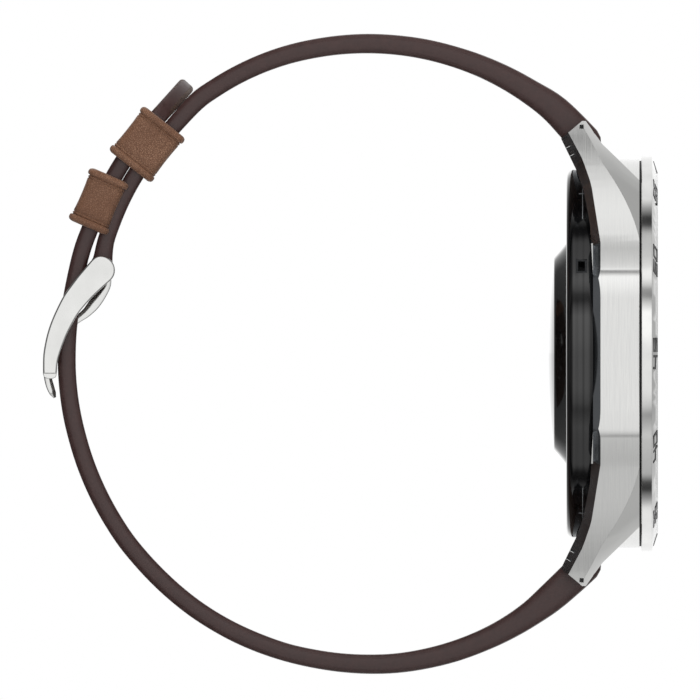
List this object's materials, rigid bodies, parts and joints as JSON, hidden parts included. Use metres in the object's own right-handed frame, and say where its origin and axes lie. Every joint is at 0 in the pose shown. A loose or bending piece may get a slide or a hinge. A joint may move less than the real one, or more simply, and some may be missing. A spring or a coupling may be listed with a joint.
{
  "type": "smartwatch",
  "caption": "Round smartwatch with a numbered steel bezel and a two-piece leather strap, buckled into a loop as if round a wrist, with a pin buckle and keepers.",
  "frame": {"origin": "centre of the wrist opening, on the mid-plane of the case", "axes": "+X out through the dial, +Y towards three o'clock (the crown's side), +Z towards twelve o'clock"},
  "size_m": [0.0716, 0.046, 0.0745],
  "materials": {
    "bezel_steel": "brushed ring edge with a satin chamfer",
    "numeral_enamel": "dark enamel in engraved strokes",
    "cover_glass": "polished flat glass",
    "seal_rubber": "matte black",
    "display_black": "unlit display",
    "frame_steel": "brushed sides, polished chamfers",
    "inner_plastic": "moulded",
    "back_gloss": "gloss black",
    "sensor_glass": "dark tinted window",
    "polished_steel": "mirror polished",
    "plain_steel": "turned",
    "circuit_board": "solder mask",
    "chip_black": "moulded packages",
    "sensor_parts": "clear lamp packages",
    "copper": "wound wire and foil",
    "flex_film": "polyimide film",
    "battery_foil": "foil pouch",
    "strap_leather": "brown leather with dark edge paint",
    "keeper_leather": "saddle brown with creased edges"
  },
  "bodies": {
    "case": {"bezel": "bezel_steel", "bezel_numerals": "numeral_enamel", "cover_glass": "cover_glass", "glass_gasket": "seal_rubber", "bezel_gasket": "seal_rubber", "display_panel": "display_black", "display_frame": "inner_plastic", "mid_frame": "frame_steel", "lug_plugs": "inner_plastic", "back_cover": "back_gloss", "back_gasket": "seal_rubber", "back_screws": "polished_steel", "sensor_ring": "back_gloss", "sensor_lens": "sensor_glass", "sensor_board": "circuit_board", "sensor_lights": "sensor_parts", "charge_coil": "copper", "battery": "battery_foil", "main_board": "circuit_board", "board_shields": "plain_steel", "board_chips": "chip_black", "antenna_ring": "copper", "flex_cables": "flex_film", "speaker": "inner_plastic", "speaker_mesh": "plain_steel", "port_frame": "plain_steel", "microphone": "plain_steel", "haptic_motor": "plain_steel", "crown_spring": "plain_steel", "crown_seal": "seal_rubber", "crown_switch": "inner_plastic", "button_spring": "plain_steel", "button_seal": "seal_rubber", "button_switch": "inner_plastic", "bar_tubes": "plain_steel", "bar_springs": "plain_steel", "strap_short": "strap_leather", "strap_long": "strap_leather", "fixed_keeper": "keeper_leather", "buckle_bar": "polished_steel"},
    "crown_slider": {"crown_sleeve": "plain_steel"},
    "crown": {"crown_cap": "polished_steel", "crown_shaft": "plain_steel", "crown_clip": "plain_steel"},
    "button": {"button_cap": "polished_steel", "button_stem": "plain_steel", "button_clip": "plain_steel"},
    "buckle": {"buckle_frame": "polished_steel"},
    "tongue": {"buckle_tongue": "polished_steel"},
    "loose_keeper": {"free_keeper": "keeper_leather"},
    "pin_top": {"bar_pin_top": "plain_steel"},
    "pin_bottom": {"bar_pin_bottom": "plain_steel"}
  },
  "joints": [
    {"name": "crown_press", "type": "slide", "parent": "case", "child": "crown_slider", "axis": [0, -0.866, -0.5], "range_m": [0, 0.0004], "stiffness_N_per_m": 2500, "springref_m": -0.0004, "deforming": ["crown_spring"]},
    {"name": "crown_spin", "type": "hinge", "parent": "crown_slider", "child": "crown", "pos_m": [0.03531, 0, 0], "axis": [0, 0.866, 0.5], "continuous": true},
    {"name": "button_press", "type": "slide", "parent": "case", "child": "button", "axis": [0, -0.866, 0.5], "range_m": [0, 0.0004], "stiffness_N_per_m": 2500, "springref_m": -0.0004, "deforming": ["button_spring"]},
    {"name": "pin_top_release", "type": "slide", "parent": "case", "child": "pin_top", "axis": [0, -1, 0], "range_m": [0, 0.0011], "stiffness_N_per_m": 1500, "springref_m": -0.0008, "deforming": ["bar_springs"]},
    {"name": "pin_bottom_release", "type": "slide", "parent": "case", "child": "pin_bottom", "axis": [0, -1, 0], "range_m": [0, 0.0011], "stiffness_N_per_m": 1500, "springref_m": -0.0008, "deforming": ["bar_springs"]},
    {"name": "buckle_swing", "type": "hinge", "parent": "case", "child": "buckle", "pos_m": [-0.02471, 0, 0.0097], "axis": [0, 1, 0], "range_deg": [0, 3]},
    {"name": "tongue_swing", "type": "hinge", "parent": "buckle", "child": "tongue", "pos_m": [-0.02471, 0, 0.0097], "axis": [0, 1, 0], "range_deg": [0, 3]},
    {"name": "keeper_slide", "type": "hinge", "parent": "case", "child": "loose_keeper", "pos_m": [0.00594, 0, 0.00434], "axis": [0, -1, 0], "range_deg": [0, 2.4]}
  ]
}
